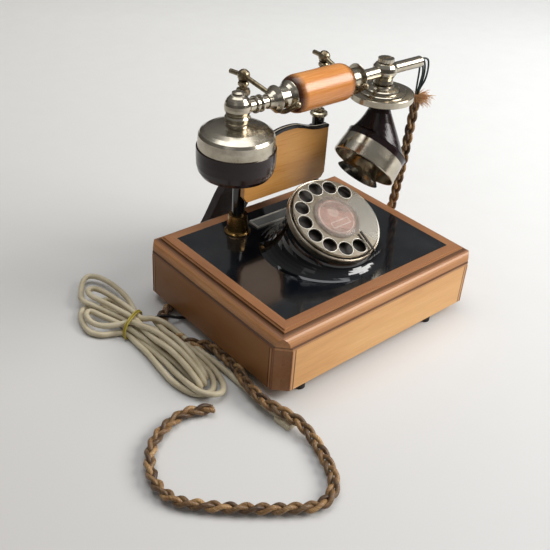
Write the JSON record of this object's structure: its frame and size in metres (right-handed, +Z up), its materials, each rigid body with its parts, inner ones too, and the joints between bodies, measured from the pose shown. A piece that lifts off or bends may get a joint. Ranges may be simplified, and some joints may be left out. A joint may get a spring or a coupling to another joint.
{
  "type": "telephone",
  "caption": "Desk telephone on a moulded wooden base with a tilted rotary dial, and a wooden-gripped handset lying in two sprung hooks on black posts.",
  "frame": {"origin": "centre of the base, on the plane that the feet stand on", "axes": "+X to the right as seen from the front, +Y towards the back, +Z up"},
  "size_m": [0.374, 0.3398, 0.2155],
  "materials": {
    "case_wood": "waxed, worn edges",
    "corner_wood": "waxed",
    "floor_wood": "raw board",
    "stay_wood": "dark stained",
    "panel_wood": "varnished",
    "grip_wood": "varnished, darker at the ends",
    "steel_screw": "plain",
    "foot_rubber": "matt",
    "deck_gloss": "glossy black, dusty",
    "frame_metal": "satin",
    "card_paper": "grey card",
    "post_black": "glossy black",
    "old_brass": "tarnished",
    "cap_nickel": "worn nickel plate",
    "edge_black": "glossy, with a pale line",
    "clamp_steel": "plain",
    "housing_black": "glossy black",
    "dial_nickel": "worn nickel plate",
    "dial_face": "dark enamel",
    "mech_brass": "lacquered",
    "stop_steel": "blackened",
    "dial_card": "faded card",
    "cap_clear": "clear moulded plastic",
    "nickel": "polished nickel plate, tarnished in the hollows",
    "hook_nickel": "nickel plate, tarnished",
    "spring_steel": "plain",
    "contact_stack": "insulating board",
    "bakelite": "moulded, dark red-brown",
    "capsule_metal": "plain",
    "coil_red": "varnished winding",
    "green_wire": "thin dark green insulation",
    "plait_brown": "plaited and varnished textile",
    "lead_black": "matt",
    "white_cord": "aged white plastic"
  },
  "bodies": {
    "root": {"front_board": "case_wood", "rear_board": "case_wood", "side_boards": "case_wood", "corner_posts": "corner_wood", "top_moulding": "corner_wood", "bottom_board": "floor_wood", "bottom_screws": "steel_screw", "feet": "foot_rubber", "deck_plate": "deck_gloss", "card_frame": "frame_metal", "card_paper": "card_paper", "posts": "post_black", "post_ferrules": "old_brass", "post_caps": "cap_nickel", "post_nuts": "mech_brass", "back_panel": "panel_wood", "panel_edging": "edge_black", "panel_clamps": "clamp_steel", "rear_stay": "stay_wood", "dial_housing": "housing_black", "dial_bezel": "dial_nickel", "dial_face": "dial_face", "mechanism_plate": "mech_brass", "finger_stop": "stop_steel", "cradle_springs": "spring_steel", "hook_switch": "contact_stack", "ringer_gongs": "mech_brass", "ringer_coils": "coil_red", "terminal_block": "contact_stack", "handset_cord": "plait_brown", "line_lead": "lead_black", "line_hank": "white_cord", "line_tail": "white_cord", "line_plug": "white_cord"},
    "finger_wheel": {"finger_wheel": "dial_nickel", "dial_shaft": "steel_screw", "dial_gear": "mech_brass", "centre_card": "dial_card", "centre_cap": "cap_clear"},
    "governor": {"governor_rotor": "mech_brass"},
    "cradle": {"cradle_crossbar": "spring_steel", "stems": "hook_nickel", "left_hook": "hook_nickel", "right_hook": "hook_nickel"},
    "handset": {"handset_tube": "nickel", "handset_grip": "grip_wood", "handset_rings": "nickel", "earpiece_knuckle": "nickel", "earpiece_bell": "nickel", "earpiece_cap": "bakelite", "earpiece_capsule": "capsule_metal", "mouthpiece_knuckle": "nickel", "handset_wires": "green_wire"},
    "clamp_knob": {"clamp_knob": "nickel"},
    "mouthpiece": {"mouthpiece_disc": "nickel", "mouthpiece_cone": "bakelite", "mouthpiece_band": "nickel", "mouthpiece_horn": "nickel", "mouthpiece_capsule": "capsule_metal"},
    "clapper": {"bell_clapper": "spring_steel"}
  },
  "joints": [
    {"name": "dial_turn", "type": "hinge", "parent": "root", "child": "finger_wheel", "pos_m": [0, -0.0219, 0.0946], "axis": [0, -0.4617, 0.887], "range_deg": [-330, 0], "stiffness_Nm_per_rad": 0.004, "springref_deg": 34.38},
    {"name": "governor_spin", "type": "hinge", "parent": "root", "child": "governor", "pos_m": [0, -0.00194, 0.10499], "axis": [0, -0.4617, 0.887], "range_deg": [0, 1360]},
    {"name": "handset_lift", "type": "slide", "parent": "root", "child": "handset", "axis": [0, 0, 1], "range_m": [0, 0.06]},
    {"name": "cradle_rise", "type": "slide", "parent": "root", "child": "cradle", "axis": [0, 0, 1], "range_m": [0, 0.006], "deforming": ["cradle_springs"]},
    {"name": "mouthpiece_swivel", "type": "hinge", "parent": "handset", "child": "mouthpiece", "pos_m": [0.0774, 0.0123, 0.1824], "axis": [0, 0, 1], "range_deg": [-60, 60]},
    {"name": "knob_turn", "type": "hinge", "parent": "handset", "child": "clamp_knob", "pos_m": [0.0774, 0.0123, 0.2106], "axis": [0, 0, 1], "continuous": true},
    {"name": "clapper_swing", "type": "hinge", "parent": "root", "child": "clapper", "pos_m": [-0.005, -0.005, 0.029], "axis": [0, 0, 1], "range_deg": [-4, 4], "stiffness_Nm_per_rad": 0.02}
  ],
  "couplings": [
    {"joint": "governor_spin", "follows": "dial_turn", "ratio": -4},
    {"joint": "cradle_rise", "follows": "handset_lift", "ratio": 0.1}
  ]
}
